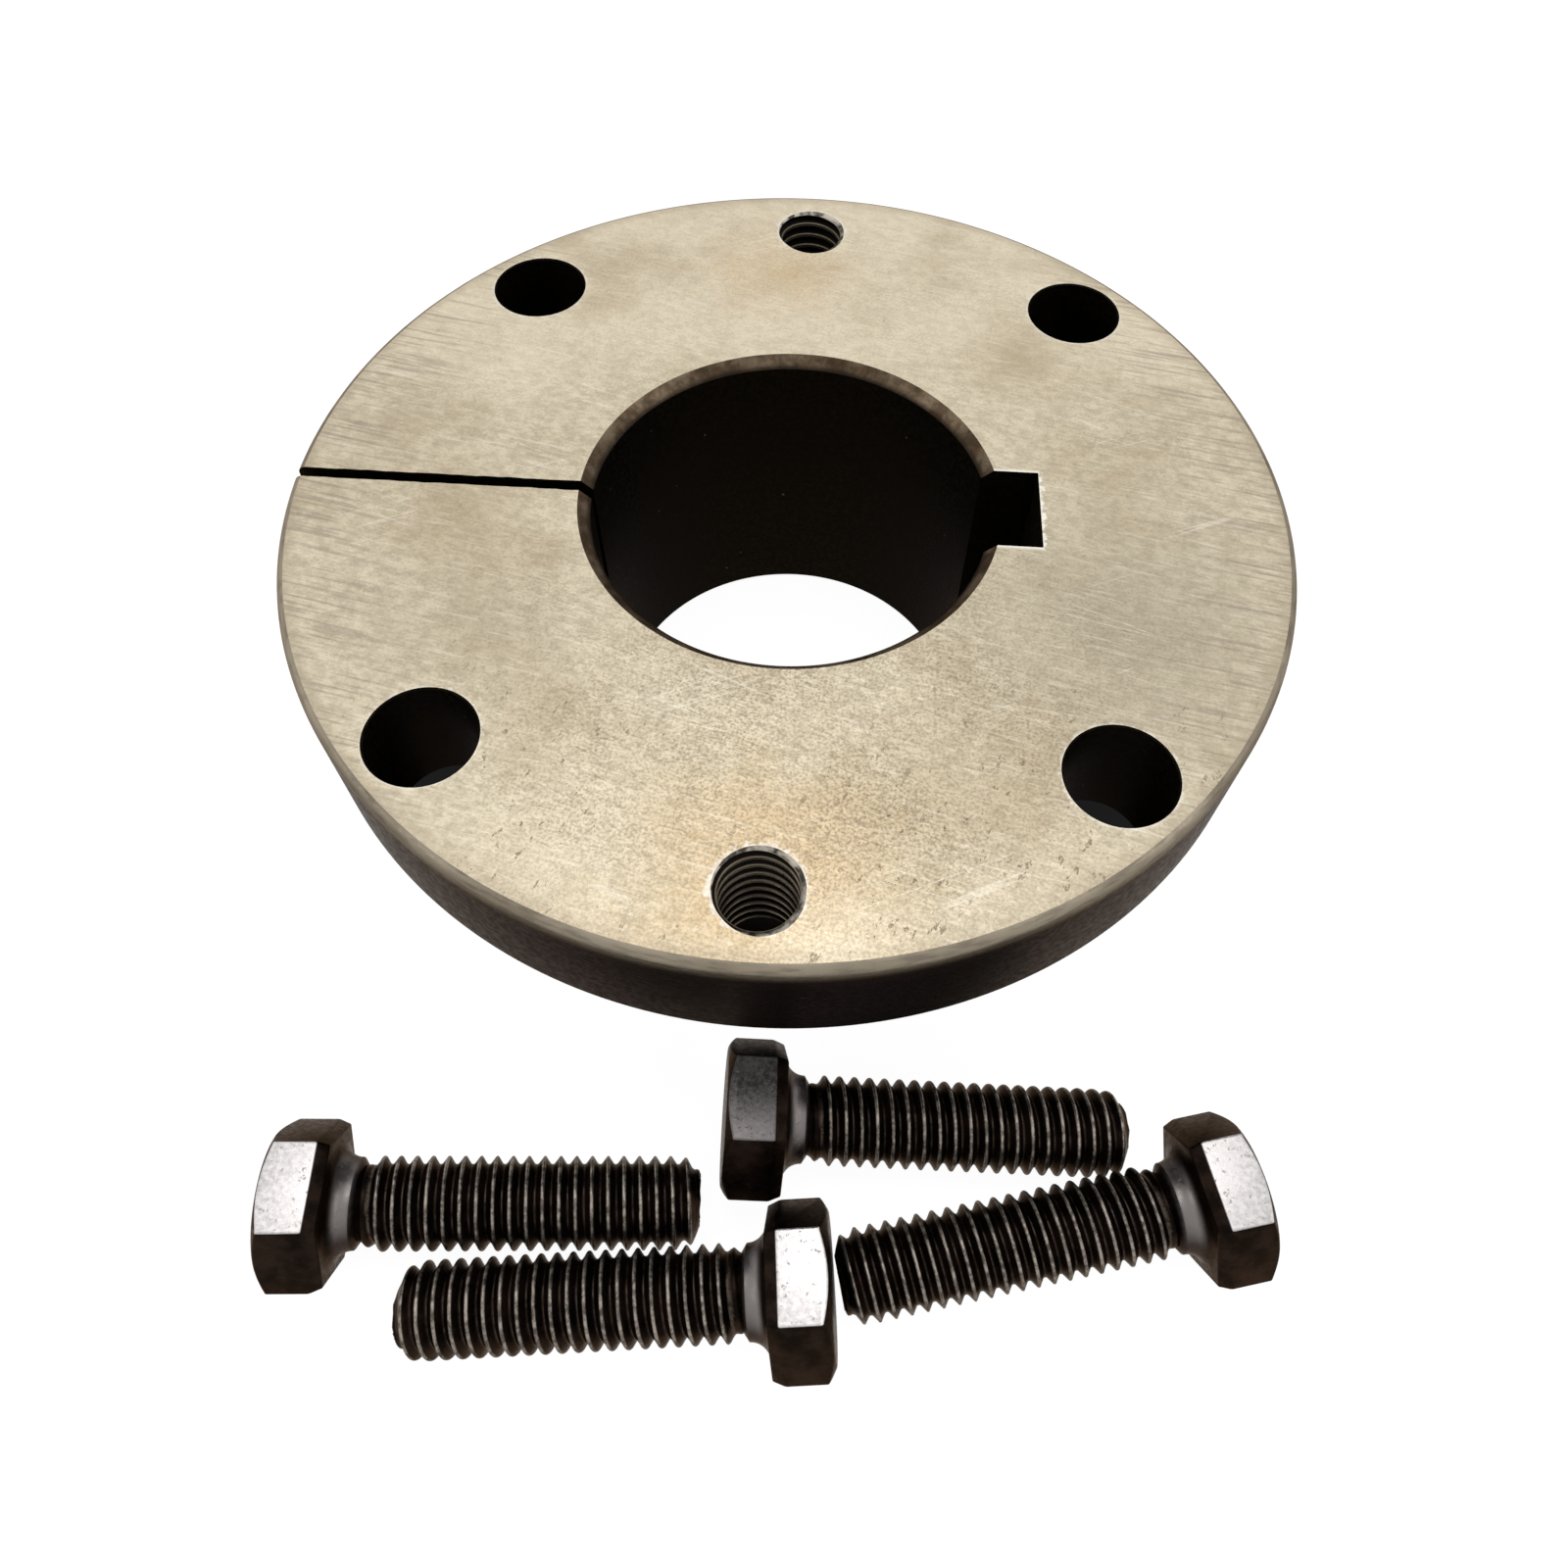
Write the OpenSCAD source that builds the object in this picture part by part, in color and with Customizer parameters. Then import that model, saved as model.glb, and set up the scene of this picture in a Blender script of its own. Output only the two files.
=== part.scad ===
// A split taper bushing of the bolt-on kind, with the four cap screws that draw it into a hub.
// The bushing stands on the small end of its taper, and its screws lie taken out in front of it.
// The origin is on the bore's axis, in the plane of the small end. Lengths are millimetres.

/* [Flange] */
// Outside diameter of the flange
flange_d = 95.25; // [80:0.25:110]
// Thickness of the flange
flange_t = 12.7; // [10:0.1:14]
// Chamfer on the flange's two rim edges
flange_break = 0.5; // [0.3:0.1:1]

/* [Tapered barrel] */
// Length of the bushing over flange and barrel
overall_l = 34.9; // [31:0.1:44]
// Diameter of the taper where it leaves the flange
taper_d = 66.7; // [60:0.1:68]
// Loss of diameter for each millimetre along the taper, two inches per foot
taper_rate = 0.167; // [0.05:0.001:0.2]
// Radius of the root fillet between taper and flange
root_fillet_r = 1.2; // [0.5:0.1:2]
// Chamfer on the small end's outer edge
nose_break = 0.8; // [0.3:0.1:1.5]

/* [Bore and keyway] */
// Diameter of the shaft bore
bore_d = 38.1; // [25.4:0.1:42]
// Chamfer at the bore's mouth in the flange
mouth_chamfer = 1.1; // [0.5:0.1:1.5]
// Chamfer at the bore's mouth in the small end
nose_chamfer = 0.4; // [0.2:0.1:0.9]
// Width of the keyway
key_w = 9.525; // [6:0.025:11]
// Depth of the keyway from the bore's wall
key_depth = 4.8; // [2:0.1:6]

/* [Split] */
// Width of the saw cut through flange and barrel
slit_w = 1.2; // [0.6:0.1:3]

/* [Flange holes] */
// Distance from the flange's rim in to the circle that all six holes lie on
hole_inset = 6.745; // [6:0.005:8]
// Diameter of a drilled clearance hole
clearance_d = 9.525; // [8.4:0.025:10]
// Direction of the first clearance hole from the keyway, in degrees
clearance_angle = 45; // [40:1:50]
// Bore of a tapped jack-screw hole, which is its thread's minor diameter
tapped_d = 6.6; // [6:0.1:7]
// Depth of the tapped hole's countersink
tapped_sink = 0.8; // [0.4:0.1:1]

/* [Cap screw shank] */
// Outside diameter of the thread
thread_d = 7.9; // [7:0.1:8.3]
// Pitch of the thread, eighteen turns to the inch
thread_pitch = 1.41; // [1:0.01:1.8]
// Length of a screw under its head
screw_l = 31.75; // [25:0.25:38]
// Length of the plain neck between head and thread
neck_l = 2.2; // [1.6:0.1:6]
// How much smaller the neck's radius is than the thread's
neck_step = 0.1; // [0:0.05:0.4]
// Radius of the fillet between neck and head
neck_fillet_r = 1.8; // [1:0.1:2]
// Length of the rounded point
point_l = 2.2; // [1:0.1:3]
// Share of the radius that the point loses at its end
point_loss = 0.38; // [0.1:0.01:0.5]

/* [Cap screw head] */
// Width across the head's flats
head_af = 12.7; // [12:0.1:14]
// Height of the head
head_h = 5.4; // [4:0.1:6.5]
// How far inside the flats the chamfer of the head's top begins
head_top_in = 0.3; // [0:0.1:1]
// Slope of the chamfer that rounds the corners of the head's top, in degrees
head_chamfer = 30; // [20:1:40]
// Length of the draft on the flats towards the bearing face
draft_l = 1.1; // [0.5:0.1:2]
// Inward lean of each flat over the length of the draft
draft_in = 0.4; // [0.2:0.1:0.6]

/* [Places of the lying screws] */
// Gap between the flange's rim and the axis of the back pair, at the middle screw's head
flange_gap = 2.7; // [2:0.1:10]
// How far the two middle heads reach behind one another
row_lap = 0.2; // [0:0.1:0.4]
// How far right of the bore's axis the front middle head's bearing face lies
middle_x = 2.4; // [0:0.1:6]
// How much further right the back middle head's bearing face lies
middle_step = 0.2; // [0:0.1:1]
// Room between the left screw's point and the bore's axis
left_gap = 4.3; // [4:0.1:8]
// How much less than a thread's width the left screw lies behind the front middle one
left_lap = 3.1; // [2.6:0.1:3.1]
// How much less than a head and a shank the right screw lies right of the front middle one
right_lap = 0.4; // [0:0.1:0.4]
// How much less than a thread's width the right screw lies in front of the back middle one
right_step = 2.6; // [2.2:0.1:2.6]

/* [Hidden] */

BUSHING_COLOUR = [0.66, 0.63, 0.56];
SCREW_COLOUR = [0.20, 0.18, 0.17];

// Overshoot of a cutter past the face that it cuts
over = 1;
// Facets of every true circle
round_fn = 96;
// Step of the points on a fillet's arc, in degrees
arc_step = 15;

flange_r = flange_d / 2;
flange_under = overall_l - flange_t;
root_r = taper_d / 2;
nose_r = root_r - flange_under * taper_rate / 2;
taper_angle = atan(taper_rate / 2);
bore_r = bore_d / 2;
hole_circle_r = flange_r - hole_inset;
hole_count = 4;
jack_angles = [90, 270];

thread_r = thread_d / 2;
// A rolled thread keeps 0.6134 of a pitch of the sharp form's depth
groove_r = thread_r - 0.6134 * thread_pitch;
neck_r = thread_r - neck_step;
// Width of the crest's flat, as a share of a pitch
crest_share = 0.125;
thread_sides = 16;
head_r = head_af / 2;
head_corner_r = head_r / cos(30);

// The crests under a screw pass through this share of a turn, counted from the thread's first
low_side = 0.75;
thread_start = neck_l - 1.5 * thread_pitch;
low_crests = [
    for (turn = [0 : ceil(screw_l / thread_pitch)], edge = [-1, 1])
        let (x = thread_start + (turn + low_side + (1 + edge * crest_share) / 2) * thread_pitch)
            if (x > screw_l / 2 && x < screw_l)
                x
];
// A screw lies on the draft's edge of one flat and on a crest near its point, so its axis dips
screw_dip = min([for (x = low_crests) atan((head_r - point_share(x) * thread_r) / (x + draft_l))]);
screw_axis_z = head_r * cos(screw_dip) - draft_l * sin(screw_dip);
// The screws lie in two crossed pairs in front of the flange, almost touching
back_y = -(flange_r + flange_gap);
front_y = back_y - 2 * head_corner_r + row_lap;
// Where each screw lies: x and y of the middle of its bearing face, and the way its point looks
screw_places = [
    [-(screw_l + left_gap), front_y + thread_d - left_lap, 4.4],
    [middle_x, front_y, 185.6],
    [middle_x + middle_step, back_y, 2],
    [middle_x + head_h + screw_l - right_lap, back_y - thread_d + right_step, 193.9],
];

function arc_points(centre, r, from, to) = [
    for (angle = [from : sign(to - from) * arc_step : to])
        [centre[0] + r * cos(angle), centre[1] + r * sin(angle)]
];

// Flange and barrel turned about the bore's axis, with root fillet and broken edges
module turned_blank() {
    fillet_z = flange_under - root_fillet_r;
    fillet_x = root_r - root_fillet_r * taper_rate / 2 + root_fillet_r / cos(taper_angle);
    rotate_extrude($fn = round_fn)
        polygon(concat(
            [[0, 0], [nose_r - nose_break, 0], [nose_r + nose_break * taper_rate / 2, nose_break]],
            arc_points([fillet_x, fillet_z], root_fillet_r, 180 - taper_angle, 90),
            [
                [fillet_x, flange_under],
                [flange_r - flange_break, flange_under],
                [flange_r, flange_under + flange_break],
                [flange_r, overall_l - flange_break],
                [flange_r - flange_break, overall_l],
                [0, overall_l],
            ]
        ));
}

// Cutter for the shaft bore, with a chamfer at each mouth
module bore_cut() {
    translate([0, 0, -over])
        cylinder(d = bore_d, h = overall_l + 2 * over, $fn = round_fn);
    translate([0, 0, -over])
        cylinder(r1 = bore_r + nose_chamfer + over, r2 = bore_r, h = nose_chamfer + over, $fn = round_fn);
    translate([0, 0, overall_l - mouth_chamfer])
        cylinder(r1 = bore_r, r2 = bore_r + mouth_chamfer + over, h = mouth_chamfer + over, $fn = round_fn);
}

// Cutter for the keyway, opposite the saw cut
module keyway_cut() {
    translate([0, -key_w / 2, -over])
        cube([bore_r + key_depth, key_w, overall_l + 2 * over]);
}

// Cutter for the saw cut that lets the bushing close on its shaft
module slit_cut() {
    translate([-flange_r - over, -slit_w / 2, -over])
        cube([flange_r + over, slit_w, overall_l + 2 * over]);
}

// Places a child on the bolt circle, in the plane of the small end
module on_bolt_circle(angle) {
    rotate([0, 0, angle])
        translate([hole_circle_r, 0, 0])
            children();
}

// Cutter for a drilled clearance hole; the drill passes the barrel and goes all the way down
module clearance_cut() {
    translate([0, 0, -over])
        cylinder(d = clearance_d, h = overall_l + 2 * over, $fn = round_fn);
}

// Cutter for a tapped jack-screw hole, with its countersink
module tapped_cut() {
    tapped_r = tapped_d / 2;
    translate([0, 0, -over])
        cylinder(d = tapped_d, h = overall_l + 2 * over, $fn = round_fn);
    translate([0, 0, overall_l - tapped_sink])
        cylinder(r1 = tapped_r, r2 = tapped_r + tapped_sink + over, h = tapped_sink + over, $fn = round_fn);
}

// The bushing itself, which is one piece
module bushing() {
    color(BUSHING_COLOUR)
        difference() {
            turned_blank();
            bore_cut();
            keyway_cut();
            slit_cut();
            for (i = [0 : hole_count - 1])
                on_bolt_circle(clearance_angle + i * 360 / hole_count)
                    clearance_cut();
            for (angle = jack_angles)
                on_bolt_circle(angle)
                    tapped_cut();
        }
}

// How far the thread has grown out of its groove radius: nothing in the neck, all of it a turn on
function thread_growth(x) = min(1, max(0, (x - neck_l) / thread_pitch));

// How much of its radius the screw keeps on its rounded point
function point_share(x) =
    let (t = min(1, max(0, (x - screw_l + point_l) / point_l)))
    1 - point_loss * (1 - sqrt(1 - t * t));

// A point of the thread at x along the screw, turned by angle about it; height is 0 in the groove
// and 1 on the crest
function thread_point(x, angle, height) =
    let (r = point_share(x) * (groove_r + height * thread_growth(x) * (thread_r - groove_r)))
    [x, r * cos(angle), r * sin(angle)];

// The thread as one closed solid. Its surface is a strip with a groove line and two crest lines that
// winds round the axis, each turn joined to the next, and a fan from the axis closes each end.
module helical_thread() {
    turns = ceil((screw_l - thread_start) / thread_pitch) + 1;
    line_share = [0, (1 - crest_share) / 2, (1 + crest_share) / 2];
    line_height = [0, 1, 1];
    lines = len(line_share);
    steps = turns * thread_sides;
    strip = [
        for (step = [0 : steps], line = [0 : lines - 1])
            thread_point(
                thread_start + thread_pitch * (line_share[line] + step / thread_sides),
                360 * step / thread_sides,
                line_height[line]
            )
    ];
    // The groove that closes the last turn
    last_groove = [
        for (step = [steps - thread_sides + 1 : steps])
            thread_point(thread_start + thread_pitch * (1 + step / thread_sides), 360 * step / thread_sides, 0)
    ];
    start_centre = len(strip) + len(last_groove);
    end_centre = start_centre + 1;
    centres = [[thread_start, 0, 0], [thread_start + thread_pitch * (turns + 1), 0, 0]];
    // Index of a line's point at a step; the line after the last is the groove one turn on
    function at(step, line) =
        line < lines ? step * lines + line
        : step + thread_sides <= steps ? (step + thread_sides) * lines
        : len(strip) + step - (steps - thread_sides + 1);
    sides = [
        for (step = [0 : steps - 1], line = [0 : lines - 1], half = [0, 1])
            half == 0
                ? [at(step, line), at(step, line + 1), at(step + 1, line)]
                : [at(step, line + 1), at(step + 1, line + 1), at(step + 1, line)]
    ];
    start_fan = concat(
        [for (step = [0 : thread_sides - 1]) [start_centre, at(step, 0), at(step + 1, 0)]],
        [for (line = [0 : lines - 1]) [start_centre, at(0, line + 1), at(0, line)]]
    );
    end_fan = concat(
        [for (step = [steps - thread_sides : steps - 1]) [end_centre, at(step + 1, lines), at(step, lines)]],
        [for (line = [0 : lines - 1]) [end_centre, at(steps, line), at(steps, line + 1)]]
    );
    polyhedron(points = concat(strip, last_groove, centres), faces = concat(sides, start_fan, end_fan));
}

// Turns a profile of [x, r] points about the screw's axis
module about_axis(profile) {
    rotate([0, 90, 0])
        rotate_extrude($fn = round_fn)
            polygon([for (p = profile) [p[1], p[0]]]);
}

// Thread cut off square at the screw's end
module thread() {
    difference() {
        helical_thread();
        translate([screw_l, -thread_d, -thread_d])
            cube(2 * thread_d + 2 * thread_pitch);
    }
}

// Plain neck, swept into the bearing face by a fillet and rounded off where the thread begins
module neck() {
    shoulder = neck_r - groove_r;
    about_axis(concat(
        [[-draft_l, 0], [-draft_l, neck_r + neck_fillet_r]],
        arc_points([neck_fillet_r, neck_r + neck_fillet_r], neck_fillet_r, 180, 270),
        [[neck_l - shoulder / 2, neck_r], [neck_l, groove_r + shoulder / 4], [neck_l, 0]]
    ));
}

// Hexagon head: its flats lean in towards the bearing face, and its top's corners are turned off
module head() {
    draft_corner_r = (head_r - draft_in) / cos(30);
    reach = head_corner_r + over;
    top_r = head_r - head_top_in;
    intersection() {
        rotate([0, -90, 0])
            rotate([0, 0, 30]) {
                translate([0, 0, draft_l])
                    cylinder(r = head_corner_r, h = head_h - draft_l, $fn = 6);
                cylinder(r1 = draft_corner_r, r2 = head_corner_r, h = draft_l, $fn = 6);
            }
        about_axis([
            [0, 0],
            [0, reach],
            [-head_h + (reach - top_r) * tan(head_chamfer), reach],
            [-head_h, top_r],
            [-head_h, 0],
        ]);
    }
}

// A cap screw on its own axis: the bearing face is at x = 0 and the point looks along +X
module cap_screw() {
    color(SCREW_COLOUR) {
        head();
        neck();
        thread();
    }
}

// A cap screw as it lies on the surface, on a flat of its head and on its point
module lying_screw(place) {
    translate([place[0], place[1], screw_axis_z])
        rotate([0, 0, place[2]])
            rotate([0, screw_dip, 0])
                cap_screw();
}

bushing();
lying_screw(screw_places[0]);  // cap_screw_1
lying_screw(screw_places[1]);  // cap_screw_2
lying_screw(screw_places[2]);  // cap_screw_3
lying_screw(screw_places[3]);  // cap_screw_4
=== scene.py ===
"""Dresses a split taper bushing and its four loose cap screws, in metres in the part's own frame."""

import math

import bpy
from mathutils import Matrix, Vector


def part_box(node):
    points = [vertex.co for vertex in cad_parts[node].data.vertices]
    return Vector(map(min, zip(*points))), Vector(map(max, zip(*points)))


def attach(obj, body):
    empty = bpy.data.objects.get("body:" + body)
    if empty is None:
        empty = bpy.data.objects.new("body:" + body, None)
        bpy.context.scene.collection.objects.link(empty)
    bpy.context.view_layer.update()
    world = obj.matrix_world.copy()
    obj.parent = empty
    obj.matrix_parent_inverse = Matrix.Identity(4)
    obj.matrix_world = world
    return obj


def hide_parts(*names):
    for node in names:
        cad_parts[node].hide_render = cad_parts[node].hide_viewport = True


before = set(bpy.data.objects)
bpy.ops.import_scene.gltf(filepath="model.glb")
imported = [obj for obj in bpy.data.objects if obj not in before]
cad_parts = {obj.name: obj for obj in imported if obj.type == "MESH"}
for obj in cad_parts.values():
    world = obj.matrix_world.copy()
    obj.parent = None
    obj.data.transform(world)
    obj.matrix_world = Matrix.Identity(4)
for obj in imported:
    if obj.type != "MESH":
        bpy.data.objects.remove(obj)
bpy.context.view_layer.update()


# Camera
# It looks down on the flange from the screws' side, at the height and tilt that give the flange's
# rings, its rim and the screws the shapes that they have in the photograph.

MM = 0.001
CAMERA_PLACE = Vector((3.99, -81.67, 121.94)) * MM
CAMERA_TURN = math.radians(1.893)
CAMERA_PITCH = math.radians(33.821)
CAMERA_ROLL = math.radians(1.561)

camera_data = bpy.data.cameras.new("camera")
camera = bpy.data.objects.new("camera", camera_data)
bpy.context.collection.objects.link(camera)
bpy.context.scene.camera = camera
camera.matrix_world = (
    Matrix.Translation(CAMERA_PLACE)
    @ Matrix.Rotation(CAMERA_TURN, 4, "Z")
    @ Matrix.Rotation(CAMERA_PITCH, 4, "X")
    @ Matrix.Rotation(CAMERA_ROLL, 4, "Z")
)
camera_data.sensor_width = 36
camera_data.lens = 28.395
camera_data.shift_x = -0.0089
camera_data.shift_y = -0.0528
camera_data.clip_start = 5 * MM


# Floor, room and lamps
# A plain pale sheet and a white room, which the camera and the metal both see as white. The floor
# keeps a faint shadow. One large soft lamp hangs overhead, with a weaker one at each side.

def put(tree, socket, value):
    """Gives a socket a plain value, or links it to another socket."""
    if isinstance(value, bpy.types.NodeSocket):
        tree.links.new(value, socket)
    else:
        socket.default_value = value


def add_node(tree, kind, inputs, **settings):
    """A node with its settings and its inputs, which are given by name or by number."""
    node = tree.nodes.new("ShaderNode" + kind)
    for name, value in settings.items():
        setattr(node, name, value)
    for key, value in inputs.items():
        put(tree, node.inputs[key], value)
    return node


def seen_by_eye_or_mirror(tree):
    """1 for a ray from the camera, a reflection or a refraction, and 0 for the light's own bounces."""
    path = add_node(tree, "LightPath", {}).outputs
    mirrored = add_node(
        tree, "Math", {0: path["Is Glossy Ray"], 1: path["Is Transmission Ray"]}, operation="MAXIMUM"
    )
    seen = add_node(tree, "Math", {0: path["Is Camera Ray"], 1: mirrored.outputs[0]}, operation="MAXIMUM")
    return seen.outputs[0]


FLOOR_GLOW = 0.955
FLOOR_SHADOW_TONE = 0.22
FLOOR_TONE = (0.7, 0.7, 0.7, 1)
ROOM_LIGHT = 0.45
SHADE_PLACE = (0, 16 * MM, 0)
DEEP_SHADE = 0.01

bpy.ops.object.select_all(action="DESELECT")
bpy.ops.mesh.primitive_plane_add(size=4)
floor = bpy.context.active_object
floor.name = "floor"
floor_material = bpy.data.materials.new("pale_floor")
floor_material.use_nodes = True
tree = floor_material.node_tree
tree.nodes.clear()
lit = add_node(tree, "BsdfDiffuse", {"Color": FLOOR_TONE})

# Under the flange the sheet is painted into deep shade, with its glow and its shadow tone turned down, so
# the bolt holes look dark. Each row gives where the painted shade ends and where it is full: at the barrel,
# below the rim, and short of the rim's front.
place = add_node(tree, "TexCoord", {}).outputs["Object"]
from_axis = add_node(tree, "VectorMath", {0: place}, operation="LENGTH").outputs["Value"]
from_shade = add_node(
    tree, "VectorMath", {0: place, 1: SHADE_PLACE}, operation="DISTANCE"
).outputs["Value"]
shade = 1.0
for distance, none, full in ((from_axis, 27, 28), (from_axis, 50, 45), (from_shade, 55.5, 51)):
    side = add_node(tree, "MapRange", {
        "Value": distance, "From Min": none * MM, "From Max": full * MM,
    }, interpolation_type="SMOOTHSTEP").outputs[0]
    shade = add_node(tree, "Math", {0: shade, 1: side}, operation="MULTIPLY").outputs[0]
glow_left = add_node(tree, "MapRange", {
    "Value": shade, "To Min": FLOOR_GLOW, "To Max": DEEP_SHADE,
}).outputs[0]
glow = add_node(tree, "Emission", {"Strength": glow_left})
shadow_tone = add_node(tree, "MapRange", {
    "Value": shade, "To Min": FLOOR_SHADOW_TONE, "To Max": DEEP_SHADE,
}).outputs[0]
shadow = add_node(tree, "BsdfDiffuse", {"Color": shadow_tone})
white = add_node(tree, "AddShader", {0: glow.outputs[0], 1: shadow.outputs[0]})
seen = seen_by_eye_or_mirror(tree)
choice = add_node(tree, "MixShader", {0: seen, 1: lit.outputs[0], 2: white.outputs[0]})
add_node(tree, "OutputMaterial", {"Surface": choice.outputs[0]})
floor.data.materials.append(floor_material)

world = bpy.data.worlds.new("white_room")
bpy.context.scene.world = world
world.use_nodes = True
tree = world.node_tree
tree.nodes.clear()
room = add_node(tree, "Background", {"Strength": ROOM_LIGHT})
backdrop = add_node(tree, "Background", {"Color": (1, 1, 1, 1), "Strength": 1.0})
seen = seen_by_eye_or_mirror(tree)
choice = add_node(tree, "MixShader", {0: seen, 1: room.outputs[0], 2: backdrop.outputs[0]})
add_node(tree, "OutputWorld", {"Surface": choice.outputs[0]})


def soft_lamp(name, place, size, power):
    """A square lamp that looks at the flange."""
    data = bpy.data.lights.new(name, "AREA")
    data.size = size
    data.energy = power
    lamp = bpy.data.objects.new(name, data)
    bpy.context.collection.objects.link(lamp)
    lamp.location = place
    lamp.rotation_euler = (Vector((0, 0, 0.03)) - Vector(place)).to_track_quat("-Z", "Y").to_euler()


soft_lamp("overhead_lamp", (0, 0.10, 0.70), 0.34, 1.0)
soft_lamp("left_lamp", (-0.55, -0.15, 0.35), 0.30, 0.3)
soft_lamp("right_lamp", (0.55, -0.05, 0.40), 0.30, 0.3)

bpy.context.scene.view_settings.view_transform = "Standard"


# Bushing
# One steel piece, turned with a flange on a taper barrel, bored for its shaft, slotted for the key
# and sawn through on one side so that it can close. Four drilled holes take the cap screws, and two
# tapped ones take the jack screws that push the hub off.

bushing_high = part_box("bushing")[1]
HEIGHT = bushing_high[2]
FLANGE_R = bushing_high[0]
FLANGE_T = 12.7 * MM
FLANGE_UNDER = HEIGHT - FLANGE_T
RIM_ROUND = 0.9 * MM
RIM_BREAK = 0.5 * MM
TAPER_LEAN = 0.167 / 2
ROOT_R = 33.35 * MM
NOSE_R = ROOT_R - FLANGE_UNDER * TAPER_LEAN
NOSE_BREAK = 0.8 * MM
ROOT_FILLET_R = 1.2 * MM
BORE_R = 19.05 * MM
MOUTH = 1.1 * MM
NOSE_MOUTH = 0.4 * MM
KEY_W = 9.525 * MM
KEY_FLOOR = BORE_R + 4.8 * MM
SLIT_W = 1.2 * MM
HOLE_CIRCLE_R = 40.88 * MM
CLEARANCE_R = 4.7625 * MM
CLEARANCE_EDGE = 0.15 * MM
TAPPED_R = 3.3 * MM
TAPPED_SINK = 0.4 * MM
THREAD_PITCH = 1.41 * MM
TAP_GROOVE_R = 3.97 * MM
TAP_TURNS = 13
TAP_DROP = 2.3 * THREAD_PITCH
OVER = 1 * MM


def only(piece):
    """Selects one piece alone and makes it the active one."""
    bpy.ops.object.select_all(action="DESELECT")
    piece.select_set(True)
    bpy.context.view_layer.objects.active = piece


def arc(centre, radius, start, end, steps):
    """The [radius, height] points of an arc in a turned profile, with its angles in degrees."""
    angles = [math.radians(start + (end - start) * i / steps) for i in range(steps + 1)]
    return [(centre[0] + radius * math.cos(a), centre[1] + radius * math.sin(a)) for a in angles]


def turned(name, profile, sides, centre=(0, 0)):
    """A solid turned about an upright axis, drawn ring by ring through [radius, height] points."""
    x, y = centre
    last_r, last_z = profile[0]
    bpy.ops.object.select_all(action="DESELECT")
    bpy.ops.mesh.primitive_circle_add(
        vertices=sides, radius=last_r, fill_type="NGON", location=(x, y, last_z)
    )
    piece = bpy.context.active_object
    piece.name = name
    bpy.ops.object.transform_apply(location=True)
    bpy.ops.object.mode_set(mode="EDIT")
    bpy.ops.mesh.select_all(action="SELECT")
    for r, z in profile[1:]:
        bpy.ops.mesh.extrude_region_move(TRANSFORM_OT_translate={"value": (0, 0, z - last_z)})
        bpy.ops.transform.resize(value=(r / last_r, r / last_r, 1), center_override=(x, y, z))
        last_r, last_z = r, z
    bpy.ops.mesh.select_all(action="SELECT")
    bpy.ops.mesh.normals_make_consistent(inside=False)
    bpy.ops.object.mode_set(mode="OBJECT")
    return piece


def block(name, low, high):
    """A square cutter between two corners."""
    middle = [(a + b) / 2 for a, b in zip(low, high)]
    bpy.ops.object.select_all(action="DESELECT")
    bpy.ops.mesh.primitive_cube_add(size=1, location=middle, scale=[b - a for a, b in zip(low, high)])
    piece = bpy.context.active_object
    piece.name = name
    bpy.ops.object.transform_apply(location=True, rotation=True, scale=True)
    return piece


def combine(piece, other, operation):
    """Joins, cuts or trims a piece with another solid, which is used up."""
    only(piece)
    change = piece.modifiers.new("combine", "BOOLEAN")
    change.operation = operation
    change.solver = "EXACT"
    change.object = other
    bpy.ops.object.modifier_apply(modifier=change.name)
    bpy.data.objects.remove(other)


def weld(piece):
    """Merges the points that lie in one place, and turns every face outwards."""
    only(piece)
    bpy.ops.object.mode_set(mode="EDIT")
    bpy.ops.mesh.select_all(action="SELECT")
    bpy.ops.mesh.remove_doubles(threshold=0.002 * MM)
    bpy.ops.mesh.normals_make_consistent(inside=False)
    bpy.ops.object.mode_set(mode="OBJECT")


def wound_thread(name, outline, pitch, steps, turns):
    """A right-hand thread about Z: an outline of [radius, share of a pitch] points wound upwards."""
    bpy.ops.object.select_all(action="DESELECT")
    bpy.ops.mesh.primitive_plane_add(size=pitch)
    piece = bpy.context.active_object
    piece.name = name
    bpy.ops.object.mode_set(mode="EDIT")
    bpy.ops.mesh.select_mode(type="VERT")
    bpy.ops.mesh.select_all(action="SELECT")
    bpy.ops.mesh.merge(type="CENTER")
    last = Vector((outline[0][0], 0, 0))
    bpy.ops.transform.translate(value=last)
    for r, share in outline[1:] + [(outline[0][0], 1)]:
        place = Vector((r, 0, share * pitch))
        bpy.ops.mesh.extrude_vertices_move(TRANSFORM_OT_translate={"value": place - last})
        last = place
    bpy.ops.object.mode_set(mode="OBJECT")
    winding = piece.modifiers.new("winding", "SCREW")
    winding.axis = "Z"
    winding.angle = 2 * math.pi
    winding.screw_offset = pitch
    winding.iterations = turns
    winding.steps = winding.render_steps = steps
    bpy.ops.object.modifier_apply(modifier=winding.name)
    weld(piece)
    return piece


def cut_square(piece, height, keep_above):
    """Cuts a wound thread off square at a height."""
    only(piece)
    bpy.ops.object.mode_set(mode="EDIT")
    bpy.ops.mesh.select_all(action="SELECT")
    bpy.ops.mesh.bisect(
        plane_co=(0, 0, height), plane_no=(0, 0, 1), clear_inner=keep_above, clear_outer=not keep_above
    )
    bpy.ops.object.mode_set(mode="OBJECT")


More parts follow.
